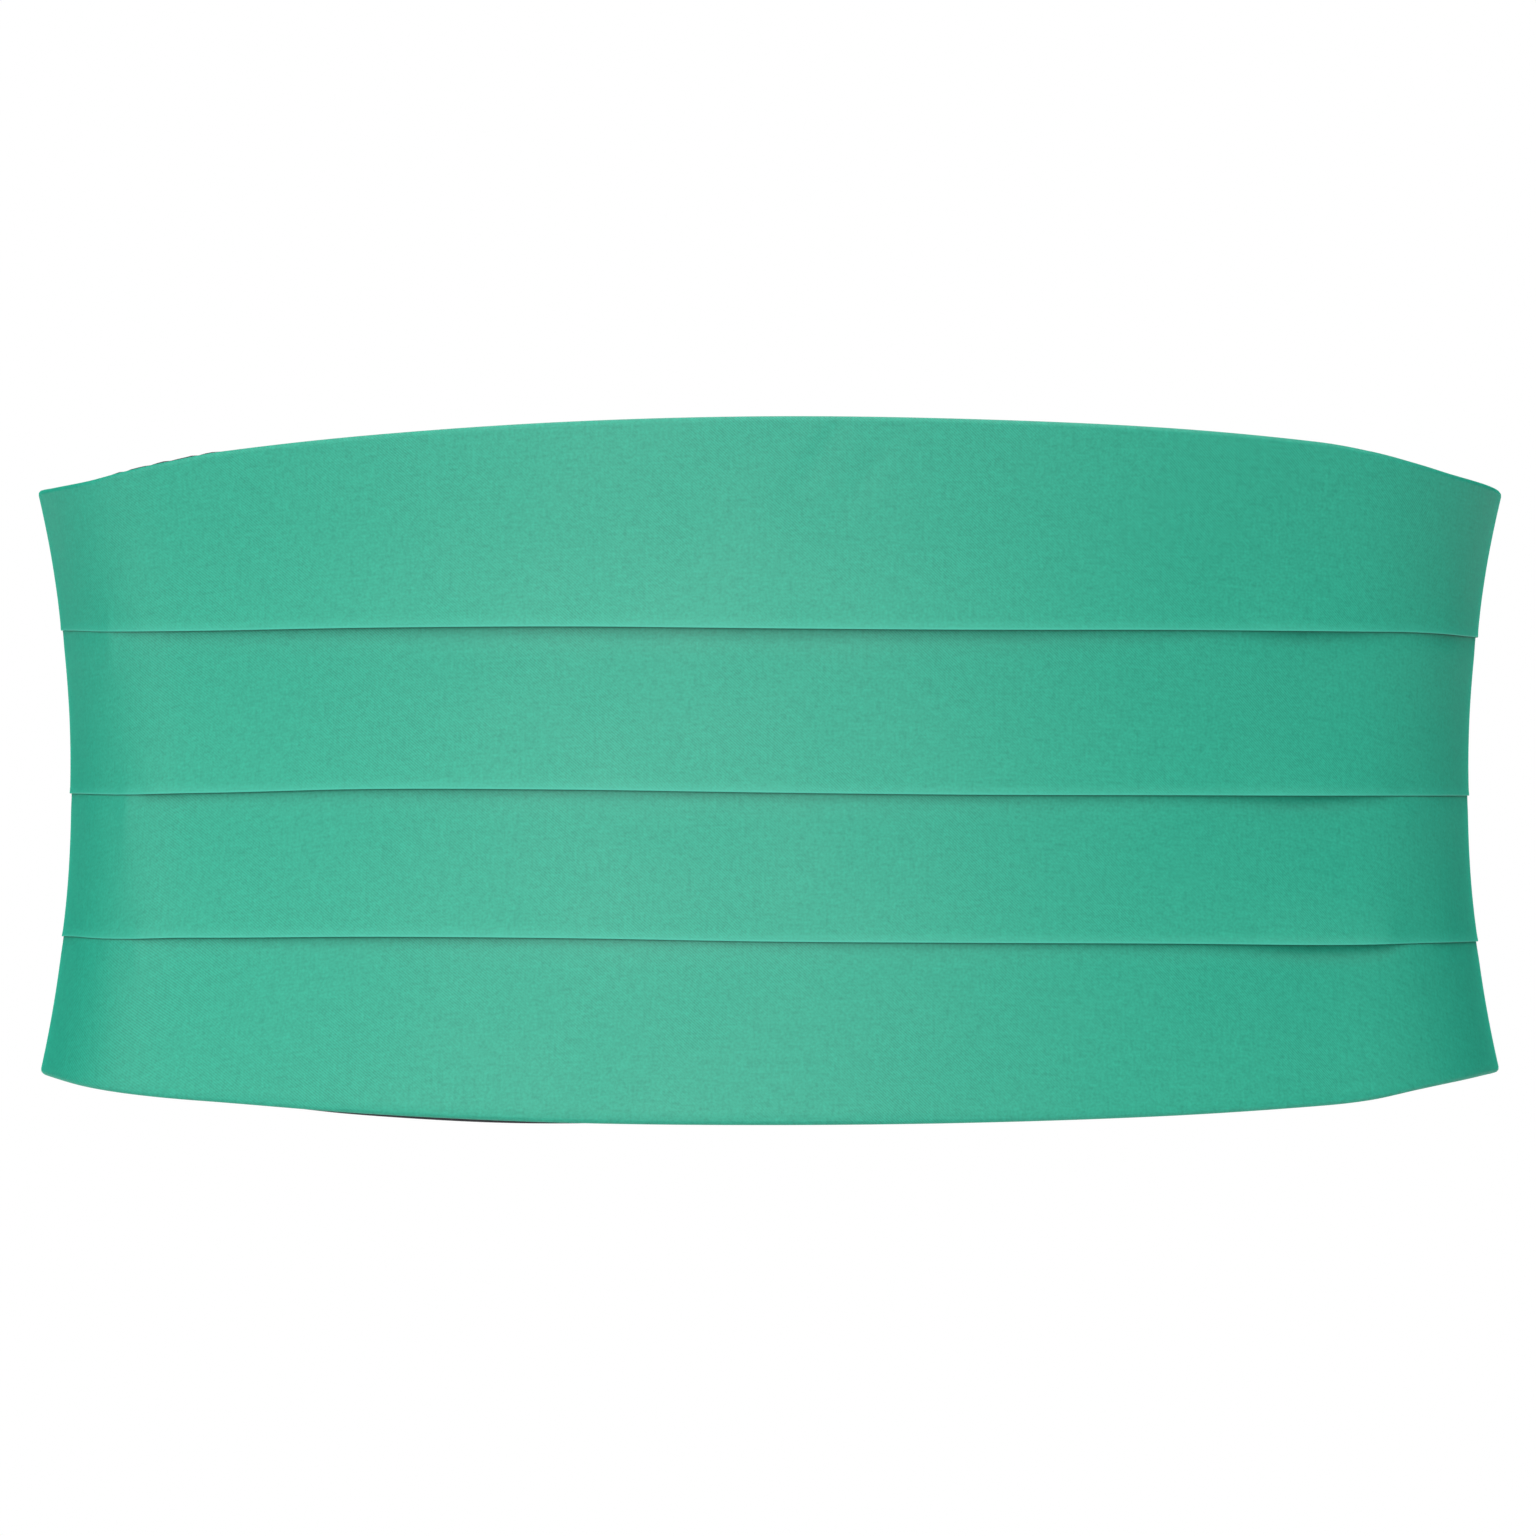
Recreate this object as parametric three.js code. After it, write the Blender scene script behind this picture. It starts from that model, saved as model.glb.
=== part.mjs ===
// A pleated cummerbund, closed as it is round a waist. Millimetres, +Z up.
// X runs across the waist, the front faces -Y, and the origin is the middle of the loop at mid height.
import * as THREE from 'three';

// The waist that the band goes round, measured on the satin's outer face at mid height.
const waistWidth = 268;
// Height of the panel at the middle of the front.
const frontHeight = 133;
// Distance along the loop, behind the waist, between the two ends of the panel.
const backGap = 138;
// How far the loop stands out at the top and bottom corners of the sides.
const flareDepth = 5.6;
// Thickness of each cloth, and the space kept between two layers.
const satinThickness = 1;
const liningThickness = 1;
const strapThickness = 1.2;
const layerGap = 0.35;
// How far the folded edge of a band stands proud of the band below.
const lipStep = 0.8;
// The straps.
const strapWidth = 30;
const strapOverlap = 22;
const strapFoldBack = 16;
// How far past the clasp a strap's two layers come together.
const strapMeet = 6.4;
// The clasp, a plate with an outer bar and a slot on each side.
const claspWidth = 38;
const claspThickness = 1.6;
const claspBar = 3.2;
const claspSlot = 4.6;
const claspMargin = 2.8;
const claspCorner = 2.5;

// Half of the loop seen from above, from the middle of the front round to the back. Each row is an arc:
// its radius as a share of waistWidth, and the heading in degrees at which it ends. The last arc, behind
// the waist, gets the radius that closes the loop on a straight stretch as long as the clasp.
const loopArcs = [
  { radius: 0.896, heading: 27.5 },
  { radius: 0.16, heading: 92 },
  { radius: 0.55, heading: 130 },
  { radius: 0.3, heading: 160 },
];
const claspStretch = claspWidth / 2 + layerGap + strapThickness;

// The panel, from its left end to its right end. along is a share of half its length. top, the three folds
// and bottom are heights as shares of frontHeight, measured from the middle. depth is how far each pleat
// goes up behind the band above it, a share of frontHeight, and flare is a share of flareDepth.
const panelColumns = ['along', 'top', 'fold1', 'fold2', 'fold3', 'bottom', 'depth', 'flare'];
const panelRows = [
  [-1, 0.3, 0.204, -0.031, -0.238, -0.325, 0.058, 0.55],
  [-0.75, 0.36, 0.203, -0.032, -0.238, -0.384, 0.082, 0.85],
  [-0.54, 0.402, 0.202, -0.033, -0.239, -0.434, 0.095, 1],
  [-0.49, 0.406, 0.201, -0.033, -0.238, -0.442, 0.098, 0.92],
  [-0.45, 0.4135, 0.199, -0.034, -0.24, -0.4525, 0.1, 0.82],
  [-0.42, 0.4254, 0.1985, -0.034, -0.24, -0.4597, 0.102, 0.74],
  [-0.385, 0.4405, 0.1986, -0.0323, -0.238, -0.4665, 0.104, 0.65],
  [-0.35, 0.4535, 0.1993, -0.031, -0.2375, -0.4715, 0.105, 0.55],
  [-0.25, 0.4754, 0.2024, -0.026, -0.2353, -0.4863, 0.107, 0.36],
  [-0.125, 0.4929, 0.2035, -0.0269, -0.2367, -0.4973, 0.108, 0.23],
  [0, 0.5, 0.2007, -0.031, -0.2412, -0.5, 0.108, 0.2],
  [0.125, 0.4966, 0.1989, -0.034, -0.2432, -0.4973, 0.108, 0.23],
  [0.25, 0.4854, 0.1993, -0.0348, -0.245, -0.4891, 0.107, 0.36],
  [0.35, 0.4671, 0.1983, -0.0356, -0.2478, -0.4768, 0.105, 0.55],
  [0.385, 0.4548, 0.1979, -0.0356, -0.2478, -0.4695, 0.104, 0.65],
  [0.42, 0.437, 0.1977, -0.0357, -0.2467, -0.4555, 0.102, 0.74],
  [0.45, 0.4228, 0.1958, -0.0358, -0.246, -0.4462, 0.1, 0.82],
  [0.49, 0.4103, 0.1927, -0.0359, -0.2457, -0.4365, 0.098, 0.92],
  [0.54, 0.4045, 0.192, -0.0361, -0.246, -0.431, 0.095, 1],
  [0.75, 0.36, 0.193, -0.0365, -0.2465, -0.384, 0.082, 0.85],
  [1, 0.3, 0.194, -0.037, -0.247, -0.325, 0.058, 0.55],
].map((row) => Object.fromEntries(row.map((value, column) => [panelColumns[column], value])));
const folds = ['fold1', 'fold2', 'fold3'];
// The height of the dip under each fold and of the plain edge of the lining.
const dipShare = 0.034;
const edgeShare = 0.012;
// The height at which the loop is closest to the waist, how far from it flareDepth is reached, and the
// power of the curve that leads there.
const closestShare = -0.024;
const flareShare = 0.4;
const flarePower = 2.15;
// How far a band has come forward at its middle, as a share of the step at its lower edge.
const midBandShare = 0.3;

// Stations are closer together where the loop bends.
const longestStep = 18;
const widestTurn = THREE.MathUtils.degToRad(11);
const strapStep = 7;

// Levels of the layers, outwards from the satin's outer face. At a fold three layers of satin lie on each
// other: the band above, the part that turns back up, and the hidden top of the band below.
const layerPitch = satinThickness + layerGap;
const bandLevel = -satinThickness / 2;
const lipLevel = bandLevel + lipStep;
const hiddenLevel = lipLevel - 2 * layerPitch;
const liningLevel = hiddenLevel - (satinThickness + liningThickness) / 2 - layerGap;
const liningEdgeLevel = bandLevel - (satinThickness + liningThickness) / 2 - layerGap;
const strapLevel = liningLevel - (liningThickness + strapThickness) / 2 - layerGap;
const claspLevel = strapLevel + (strapThickness + claspThickness) / 2 + layerGap;
const turnRadius = layerPitch / 2;

// The arcs of half the loop, each with its start along the loop, its radius, heading and centre.
function layOutLoop() {
  const arcs = [];
  let x = 0;
  let y = 0;
  let heading = 0;
  let along = 0;
  const addArc = (radius, end) => {
    const centre = new THREE.Vector2(x - radius * Math.sin(heading), y + radius * Math.cos(heading));
    const length = radius * (end - heading);
    arcs.push({ start: along, length, radius, heading, centre });
    x = centre.x + radius * Math.sin(end);
    y = centre.y - radius * Math.cos(end);
    heading = end;
    along += length;
  };
  for (const row of loopArcs) {
    addArc(row.radius * waistWidth, THREE.MathUtils.degToRad(row.heading));
  }
  addArc((x - claspStretch) / Math.sin(heading), Math.PI);
  return { arcs, depth: y, arcsEnd: along, half: along + claspStretch };
}
const loop = layOutLoop();
const panelHalf = loop.half - backGap / 2;

// The point of the loop at a distance along it, to the right of the middle of the front if positive, and
// at a level outwards from the satin's outer face.
function loopPoint(distance, level) {
  const side = Math.sign(distance) || 1;
  const along = Math.abs(distance);
  if (along > loop.arcsEnd) {
    return new THREE.Vector2(side * (loop.half - along), loop.depth / 2 + level);
  }
  const arc = loop.arcs.find((one) => along <= one.start + one.length);
  const heading = arc.heading + (along - arc.start) / arc.radius;
  const reach = arc.radius + level;
  const x = arc.centre.x + reach * Math.sin(heading);
  const y = arc.centre.y - reach * Math.cos(heading) - loop.depth / 2;
  return new THREE.Vector2(side * x, y);
}

// A smooth curve through one column of the table, at a share of half the panel's length.
function columnAt(column, along) {
  const last = panelRows.length - 2;
  const found = panelRows.findIndex((row) => row.along > along) - 1;
  const at = found < 0 ? last : found;
  const slope = (index) => {
    const before = panelRows[Math.max(index - 1, 0)];
    const after = panelRows[Math.min(index + 1, last + 1)];
    return (after[column] - before[column]) / (after.along - before.along);
  };
  const from = panelRows[at];
  const to = panelRows[at + 1];
  const span = to.along - from.along;
  const t = (along - from.along) / span;
  const rise = t * t * (3 - 2 * t);
  const bend = t * (1 - t) * span;
  return from[column] + (to[column] - from[column]) * rise
    + slope(at) * bend * (1 - t) - slope(at + 1) * bend * t;
}

function heightAt(column, distance) {
  return frontHeight * columnAt(column, distance / panelHalf);
}

// How far the loop stands out at a height: nothing where it is closest, most at the top and bottom edges.
function flareAt(distance, height) {
  const away = Math.abs(height / frontHeight - closestShare) / flareShare;
  return flareDepth * columnAt('flare', distance / panelHalf) * away ** flarePower;
}

// A half turn of a layer, from one level to the next one inwards, round a centre at a height.
function halfTurn(fromLevel, height, way) {
  const steps = 3;
  const points = [];
  for (let step = 0; step <= steps; step += 1) {
    const angle = (Math.PI * step) / steps;
    const level = fromLevel - turnRadius + turnRadius * Math.cos(angle);
    points.push(new THREE.Vector2(level, height + way * turnRadius * Math.sin(angle)));
  }
  return points;
}

// The middle line of the satin from its top edge to its bottom edge, as levels and heights.
function satinLine(distance) {
  const top = heightAt('top', distance);
  const bottom = heightAt('bottom', distance);
  const depth = heightAt('depth', distance);
  const dip = frontHeight * dipShare;
  const reach = turnRadius + satinThickness / 2;
  const points = [new THREE.Vector2(bandLevel, top)];
  let bandTop = top;
  for (const fold of folds) {
    const lip = heightAt(fold, distance);
    points.push(new THREE.Vector2(bandLevel + midBandShare * lipStep, (bandTop + lip) / 2));
    points.push(...halfTurn(lipLevel, lip + reach, -1));
    points.push(...halfTurn(lipLevel - layerPitch, lip + depth - reach, 1));
    points.push(new THREE.Vector2(hiddenLevel, lip + satinThickness / 2));
    bandTop = lip - dip;
    points.push(new THREE.Vector2(bandLevel, bandTop));
  }
  points.push(new THREE.Vector2(bandLevel, bottom));
  return points;
}

// Points in even steps from one point up to, but without, the next.
function inSteps(from, to, steps) {
  return Array.from({ length: steps }, (_, step) => from.clone().lerp(to, step / steps));
}

// The middle line of the lining. It lies against the satin at both edges, and clear of the pleats between.
function liningLine(distance) {
  const top = heightAt('top', distance);
  const bottom = heightAt('bottom', distance);
  const edge = frontHeight * edgeShare;
  const upper = heightAt('fold1', distance) + heightAt('depth', distance) + layerGap;
  const lower = heightAt('fold3', distance) - frontHeight * dipShare;
  const corners = [
    { level: liningEdgeLevel, height: top, steps: 1 },
    { level: liningEdgeLevel, height: top - edge, steps: 2 },
    { level: liningLevel, height: upper, steps: 5 },
    { level: liningLevel, height: lower, steps: 2 },
    { level: liningEdgeLevel, height: bottom + edge, steps: 1 },
    { level: liningEdgeLevel, height: bottom },
  ];
  const points = corners.map((corner) => new THREE.Vector2(corner.level, corner.height));
  const line = points.slice(1).flatMap((point, index) => inSteps(points[index], point, corners[index].steps));
  return [...line, points.at(-1)];
}

// The outline round a middle line: its left side on the way out, its right side on the way back.
function thicken(line, thickness) {
  const left = [];
  const right = [];
  line.forEach((point, index) => {
    const before = line[Math.max(index - 1, 0)];
    const after = line[Math.min(index + 1, line.length - 1)];
    const into = (index > 0 ? point.clone().sub(before) : after.clone().sub(point)).normalize();
    const out = (index < line.length - 1 ? after.clone().sub(point) : into.clone()).normalize();
    const along = into.clone().add(out).normalize();
    const across = new THREE.Vector2(-along.y, along.x);
    const reach = thickness / 2 / along.dot(into);
    left.push(point.clone().addScaledVector(across, reach));
    right.push(point.clone().addScaledVector(across, -reach));
  });
  return [...left, ...right.reverse()];
}

// Distances along the loop, from the panel's left end to its right end.
function panelStations() {
  const right = [];
  for (const arc of loop.arcs) {
    const length = Math.min(arc.length, panelHalf - arc.start);
    if (length > 0) {
      const steps = Math.ceil(length / Math.min(longestStep, arc.radius * widestTurn));
      for (let step = 1; step <= steps; step += 1) {
        right.push(arc.start + (length * step) / steps);
      }
    }
  }
  const left = right.map((distance) => -distance).reverse();
  return [...left, 0, ...right];
}

// One closed sheet along the panel, from the outline of its section at each station.
function sweepSheet(lineAt, thickness) {
  const stations = panelStations();
  const outlines = stations.map((distance) => thicken(lineAt(distance), thickness));
  const positions = [];
  stations.forEach((distance, index) => {
    for (const { x: level, y: height } of outlines[index]) {
      const point = loopPoint(distance, level + flareAt(distance, height));
      positions.push(point.x, point.y, height);
    }
  });
  const count = outlines[0].length;
  const faces = [];
  for (let station = 0; station < stations.length - 1; station += 1) {
    for (let corner = 0; corner < count; corner += 1) {
      const a = station * count + corner;
      const b = station * count + ((corner + 1) % count);
      faces.push(a, b, a + count, b, b + count, a + count);
    }
  }
  const lastRing = (stations.length - 1) * count;
  for (const [a, b, c] of THREE.ShapeUtils.triangulateShape(outlines[0], [])) {
    faces.push(a, b, c);
  }
  for (const [a, b, c] of THREE.ShapeUtils.triangulateShape(outlines[stations.length - 1], [])) {
    faces.push(lastRing + a, lastRing + c, lastRing + b);
  }
  const geometry = new THREE.BufferGeometry();
  geometry.setAttribute('position', new THREE.Float32BufferAttribute(positions, 3));
  geometry.setIndex(faces);
  geometry.computeVertexNormals();
  return geometry;
}

// The middle line of a strap seen from above, as distances from the middle of the back and levels. It comes
// from the inner face of the panel's end, goes through the clasp's slot round the outer bar, and lies back
// on itself.
function strapLine() {
  const start = backGap / 2 + strapOverlap;
  const barEdge = claspWidth / 2 - claspBar;
  const radius = (claspThickness + strapThickness) / 2 + layerGap;
  const meet = claspWidth / 2 + strapMeet;
  const end = meet + strapFoldBack;
  const backLevel = strapLevel + strapThickness + layerGap;
  const points = [];
  const steps = Math.ceil((start - barEdge) / strapStep);
  for (let step = 0; step < steps; step += 1) {
    points.push(new THREE.Vector2(THREE.MathUtils.lerp(start, barEdge, step / steps), strapLevel));
  }
  const turns = 6;
  for (let turn = 0; turn <= turns; turn += 1) {
    const angle = (Math.PI * turn) / turns;
    points.push(new THREE.Vector2(barEdge - radius * Math.sin(angle), claspLevel - radius * Math.cos(angle)));
  }
  points.push(new THREE.Vector2(claspWidth / 2 + layerGap, claspLevel + radius));
  const layBackSteps = 4;
  for (let step = 0; step <= layBackSteps; step += 1) {
    points.push(new THREE.Vector2(THREE.MathUtils.lerp(meet, end, step / layBackSteps), backLevel));
  }
  return points;
}

function makeStrap(side) {
  const outline = thicken(strapLine(), strapThickness)
    .map((point) => loopPoint(side * (loop.half - point.x), point.y));
  const shape = new THREE.Shape(outline);
  const geometry = new THREE.ExtrudeGeometry(shape, { depth: strapWidth, bevelEnabled: false });
  return geometry.translate(0, 0, -strapWidth / 2);
}

function rectangle(shape, left, low, width, height, corner) {
  const right = left + width;
  const high = low + height;
  const quarter = Math.PI / 2;
  shape.absarc(right - corner, low + corner, corner, -quarter, 0);
  shape.absarc(right - corner, high - corner, corner, 0, quarter);
  shape.absarc(left + corner, high - corner, corner, quarter, 2 * quarter);
  shape.absarc(left + corner, low + corner, corner, 2 * quarter, 3 * quarter);
  shape.closePath();
  return shape;
}

function makeClasp() {
  const slotHeight = strapWidth + 2 * layerGap;
  const height = slotHeight + 2 * claspMargin;
  const plate = rectangle(new THREE.Shape(), -claspWidth / 2, -height / 2, claspWidth, height, claspCorner);
  for (const left of [claspBar - claspWidth / 2, claspWidth / 2 - claspBar - claspSlot]) {
    const slot = rectangle(new THREE.Path(), left, -slotHeight / 2, claspSlot, slotHeight, layerGap);
    plate.holes.push(slot);
  }
  const thickness = { depth: claspThickness, bevelEnabled: false, curveSegments: 3 };
  const geometry = new THREE.ExtrudeGeometry(plate, thickness);
  geometry.rotateX(Math.PI / 2);
  return geometry.translate(0, loop.depth / 2 + claspLevel + claspThickness / 2, 0);
}

const satin = { color: 0x50b898, roughness: 0.45, metalness: 0 };
const liningCloth = { color: 0x14171a, roughness: 0.75, metalness: 0 };
const webbing = { color: 0x17191c, roughness: 0.85, metalness: 0 };
const metal = { color: 0xb9bcc0, roughness: 0.3, metalness: 1 };

const cummerbund = new THREE.Group();
function addPiece(name, geometry, finish) {
  const mesh = new THREE.Mesh(geometry, new THREE.MeshStandardMaterial(finish));
  mesh.name = name;
  cummerbund.add(mesh);
}
addPiece('pleated_front', sweepSheet(satinLine, satinThickness), satin);
addPiece('lining', sweepSheet(liningLine, liningThickness), liningCloth);
addPiece('strap_left', makeStrap(-1), webbing);
addPiece('strap_right', makeStrap(1), webbing);
addPiece('clasp', makeClasp(), metal);

export default cummerbund;
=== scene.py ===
import math

import bpy
import numpy as np
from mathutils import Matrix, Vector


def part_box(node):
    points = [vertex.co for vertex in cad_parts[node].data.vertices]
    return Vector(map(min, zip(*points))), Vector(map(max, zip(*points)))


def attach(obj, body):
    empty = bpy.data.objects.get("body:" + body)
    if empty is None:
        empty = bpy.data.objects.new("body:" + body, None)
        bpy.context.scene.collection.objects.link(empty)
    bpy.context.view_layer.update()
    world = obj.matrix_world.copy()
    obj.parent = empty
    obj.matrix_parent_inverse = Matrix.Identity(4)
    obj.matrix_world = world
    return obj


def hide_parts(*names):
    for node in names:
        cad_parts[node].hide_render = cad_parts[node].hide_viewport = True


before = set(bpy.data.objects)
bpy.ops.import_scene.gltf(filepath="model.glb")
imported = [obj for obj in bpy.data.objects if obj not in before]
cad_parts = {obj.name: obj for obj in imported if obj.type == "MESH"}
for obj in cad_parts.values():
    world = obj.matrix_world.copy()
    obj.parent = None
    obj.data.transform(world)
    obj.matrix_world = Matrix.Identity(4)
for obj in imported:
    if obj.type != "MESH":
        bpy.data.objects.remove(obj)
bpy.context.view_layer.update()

# The view: a long lens, level with the middle of the front and three metres from it, so that the band fills
# the width of the picture as it does in the photograph.
FRONT_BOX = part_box("pleated_front")
FRONT_HEIGHT = FRONT_BOX[1][2] - FRONT_BOX[0][2]
PICTURE_PIXELS = 1536
HEIGHT_PIXELS = 709.2
MIDDLE_PIXELS = (769.5, 770.7)
CAMERA_DISTANCE = 3.0
SENSOR_WIDTH = 36.0
metres_per_pixel = FRONT_HEIGHT / HEIGHT_PIXELS
front_distance = CAMERA_DISTANCE + FRONT_BOX[0][1]
camera_data = bpy.data.cameras.new("camera")
camera_data.sensor_width = SENSOR_WIDTH
camera_data.lens = SENSOR_WIDTH * front_distance / (metres_per_pixel * PICTURE_PIXELS)
camera_data.clip_end = 50
camera = bpy.data.objects.new("camera", camera_data)
bpy.context.scene.collection.objects.link(camera)
camera.location = (
    (PICTURE_PIXELS / 2 - MIDDLE_PIXELS[0]) * metres_per_pixel,
    -CAMERA_DISTANCE,
    (MIDDLE_PIXELS[1] - PICTURE_PIXELS / 2) * metres_per_pixel,
)
camera.rotation_euler = (math.pi / 2, 0, 0)
bpy.context.scene.camera = camera

# The pleated front: one piece of polyester satin, pressed into three pleats whose folds face down, and cut
# to a curved top and bottom edge. It is sewn to the lining inside out and turned, so its edges roll in, and
# the pleats are tacked down near both ends of the front.
MM = 0.001
WAIST_WIDTH = 268 * MM
BACK_GAP = 138 * MM
FLARE_DEPTH = 5.6 * MM
CLOSEST_SHARE = -0.024
FLARE_SHARE = 0.4
FLARE_POWER = 2.08
# Half of the loop from above, from the middle of the front round to the back: each row is an arc, its radius
# a share of the waist's width, and its heading in degrees where it ends. The last arc closes the loop.
LOOP_ARCS = [
    {"radius": 0.896, "heading": 27.5},
    {"radius": 0.16, "heading": 92},
    {"radius": 0.55, "heading": 130},
    {"radius": 0.3, "heading": 160},
]
CLASP_STRETCH = 20.55 * MM
# The panel from its left end to its right end. along is a share of half its length, the heights and the
# pleats' depth are shares of the front's height, and flare is a share of FLARE_DEPTH.
PANEL_COLUMNS = ("along", "top", "fold1", "fold2", "fold3", "bottom", "depth", "flare")
PANEL_ROWS = [
    (-1, 0.3, 0.204, -0.031, -0.238, -0.325, 0.058, 0.55),
    (-0.75, 0.36, 0.203, -0.032, -0.238, -0.384, 0.082, 0.85),
    (-0.54, 0.402, 0.202, -0.033, -0.239, -0.434, 0.095, 1),
    (-0.49, 0.406, 0.201, -0.033, -0.238, -0.442, 0.098, 0.92),
    (-0.45, 0.4135, 0.199, -0.034, -0.24, -0.4525, 0.1, 0.82),
    (-0.42, 0.4254, 0.1985, -0.034, -0.24, -0.4597, 0.102, 0.74),
    (-0.385, 0.4405, 0.1986, -0.0323, -0.238, -0.4665, 0.104, 0.65),
    (-0.35, 0.4535, 0.1993, -0.031, -0.2375, -0.4715, 0.105, 0.55),
    (-0.25, 0.4754, 0.2024, -0.026, -0.2353, -0.4863, 0.107, 0.36),
    (-0.125, 0.4929, 0.2035, -0.0269, -0.2367, -0.4973, 0.108, 0.23),
    (0, 0.5, 0.2007, -0.031, -0.2412, -0.5, 0.108, 0.2),
    (0.125, 0.4966, 0.1989, -0.034, -0.2432, -0.4973, 0.108, 0.23),
    (0.25, 0.4854, 0.1993, -0.0348, -0.245, -0.4891, 0.107, 0.36),
    (0.35, 0.4671, 0.1983, -0.0356, -0.2478, -0.4768, 0.105, 0.55),
    (0.385, 0.4548, 0.1979, -0.0356, -0.2478, -0.4695, 0.104, 0.65),
    (0.42, 0.437, 0.1977, -0.0357, -0.2467, -0.4555, 0.102, 0.74),
    (0.45, 0.4228, 0.1958, -0.0358, -0.246, -0.4462, 0.1, 0.82),
    (0.49, 0.4103, 0.1927, -0.0359, -0.2457, -0.4375, 0.098, 0.95),
    (0.54, 0.399, 0.192, -0.0361, -0.246, -0.432, 0.095, 1.04),
    (0.75, 0.36, 0.193, -0.0365, -0.2465, -0.384, 0.082, 0.85),
    (1, 0.3, 0.194, -0.037, -0.247, -0.325, 0.058, 0.55),
]
# How far each fold's edge stands off the band below, in millimetres. It hugs where it is tacked near both
# ends of the front, and gapes between the tacks and the middle.
LIFT_ROWS = [
    (-1, 0.2, 0.2, 0.2),
    (-0.5, 0.2, 0.2, 0.2),
    (-0.455, 0.1, 0.1, 0.1),
    (-0.435, 0.4, 0.1, 0.1),
    (-0.4, 0.8, 0.85, 0.55),
    (-0.36, 0.95, 0.7, 0.65),
    (-0.3, 1.05, 0.75, 0.75),
    (-0.2, 1.1, 0.85, 0.8),
    (-0.1, 1.15, 0.8, 0.65),
    (0, 1.2, 0.75, 0.55),
    (0.08, 1.2, 0.75, 0.6),
    (0.15, 1.2, 0.8, 0.65),
    (0.25, 0.85, 0.7, 0.7),
    (0.3, 0.7, 0.9, 0.8),
    (0.34, 1.3, 1.35, 1.35),
    (0.37, 1.15, 1.2, 1.4),
    (0.4, 0.65, 0.6, 1.1),
    (0.42, 0.4, 0.1, 0.25),
    (0.44, 0.5, 0.2, 0.2),
    (0.46, 0.65, 0.25, 0.35),
    (0.5, 0.3, 0.2, 0.25),
    (1, 0.2, 0.2, 0.2),
]
# Small dents and puckers: the middle as shares along the panel and of the front's height, the reach along
# and up in millimetres, the lean in degrees, and how far the cloth comes forward in millimetres.
PUCKER_ROWS = [
    (-0.442, 0.185, 2.2, 5, 0, 0.3),
    (-0.43, -0.06, 2.2, 6, 0, 0.3),
    (-0.415, -0.262, 2.2, 5, 0, 0.25),
    (0.41, -0.06, 7, 9, -15, 0.22),
    (0.415, -0.27, 5, 7, 20, 0.28),
    (0.032, 0.452, 1.6, 9, -35, -0.16),
    (0.058, 0.41, 1.6, 9, -35, -0.12),
    (0.022, 0.458, 2.5, 9, -35, 0.08),
    (0.245, -0.365, 1.6, 22, 70, 0.12),
    (0.25, -0.06, 9, 5, 30, 0.12),
    (0.27, -0.29, 7, 5, 30, 0.12),
]
# The layers of a pleat lie this far apart. Under a lifted fold the band below is pressed in by a share of the
# lift, and comes forward again over a share of the front's height.
LAYER_PITCH = 0.16 * MM
VALLEY_SHARE = 0.45
DIP_SHARE = 0.032
# A fold's edge is a little fuller than the band above it, over this height.
LIP_BULB = 0.06 * MM
LIP_REACH = 1.6 * MM
# The hems: how round the edges roll, how far the cloth is turned in, and how far the ends stand out.
EDGE_RADIUS = 0.85 * MM
EDGE_TURN_IN = 7 * MM
END_TURN_IN = 6 * MM
END_REACH = 1.3 * MM
SATIN_SETBACK = 1.6 * MM
# The inner face of the lining, the room that the lining takes behind the satin's turned ends, and how far
# from the edges the band has its full thickness.
BACK_LEVEL = -3.3 * MM
END_ROOM = 0.45 * MM
EDGE_SLOPE = 14 * MM
# How far the cloth steps forward over each pleat's hidden edge, in millimetres, and over what width.
RIDGE_STEPS = (0.012, 0.012, 0.0)
RIDGE_WIDTH = 2.6 * MM
# The band leans out toward a fold's edge over a height that is this much of the pleat's depth.
LEAN_REACH = 1.45
LEAN_POWER = 2.3
# Rows of the mesh next to a fold, as distances from it in millimetres, on each band above a fold, on the
# last band, and on a pleat's hidden layers, as shares of its depth.
NEAR_FOLD = (0.1, 0.24, 0.42, 0.7, 1.1, 1.6, 2.3, 3.2)
BAND_ROWS = (15, 12, 10)
LAST_BAND_ROWS = 16
HIDDEN_ROWS = np.linspace(0.1, 1, 5)[None, :]
FRONT_COLUMNS = 476
# Painted highlight and shade: the cloth is painted paler near a fold's edge and most of all on its rim, and
# the crease under it painted dark.
PAINTED_HIGHLIGHT_SHARE = 0.3
PAINTED_HIGHLIGHT_REACH = 2.4 * MM
PAINTED_RIM_SHARE = 0.6
PAINTED_RIM_REACH = 0.5 * MM
PAINTED_SHADE_REACH = 0.4 * MM
SATIN_COLOR = (0.0035, 0.275, 0.180)
SATIN_LIGHT = (0.0145, 0.407, 0.267)
SATIN_PAINTED_HIGHLIGHT = (0.04, 0.47, 0.335)
SATIN_PAINTED_SHADE = (0.0, 0.10, 0.06)
SATIN_SHEEN = (0.02, 0.75, 0.5)
TWILL_PITCH = 0.4 * MM


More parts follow.
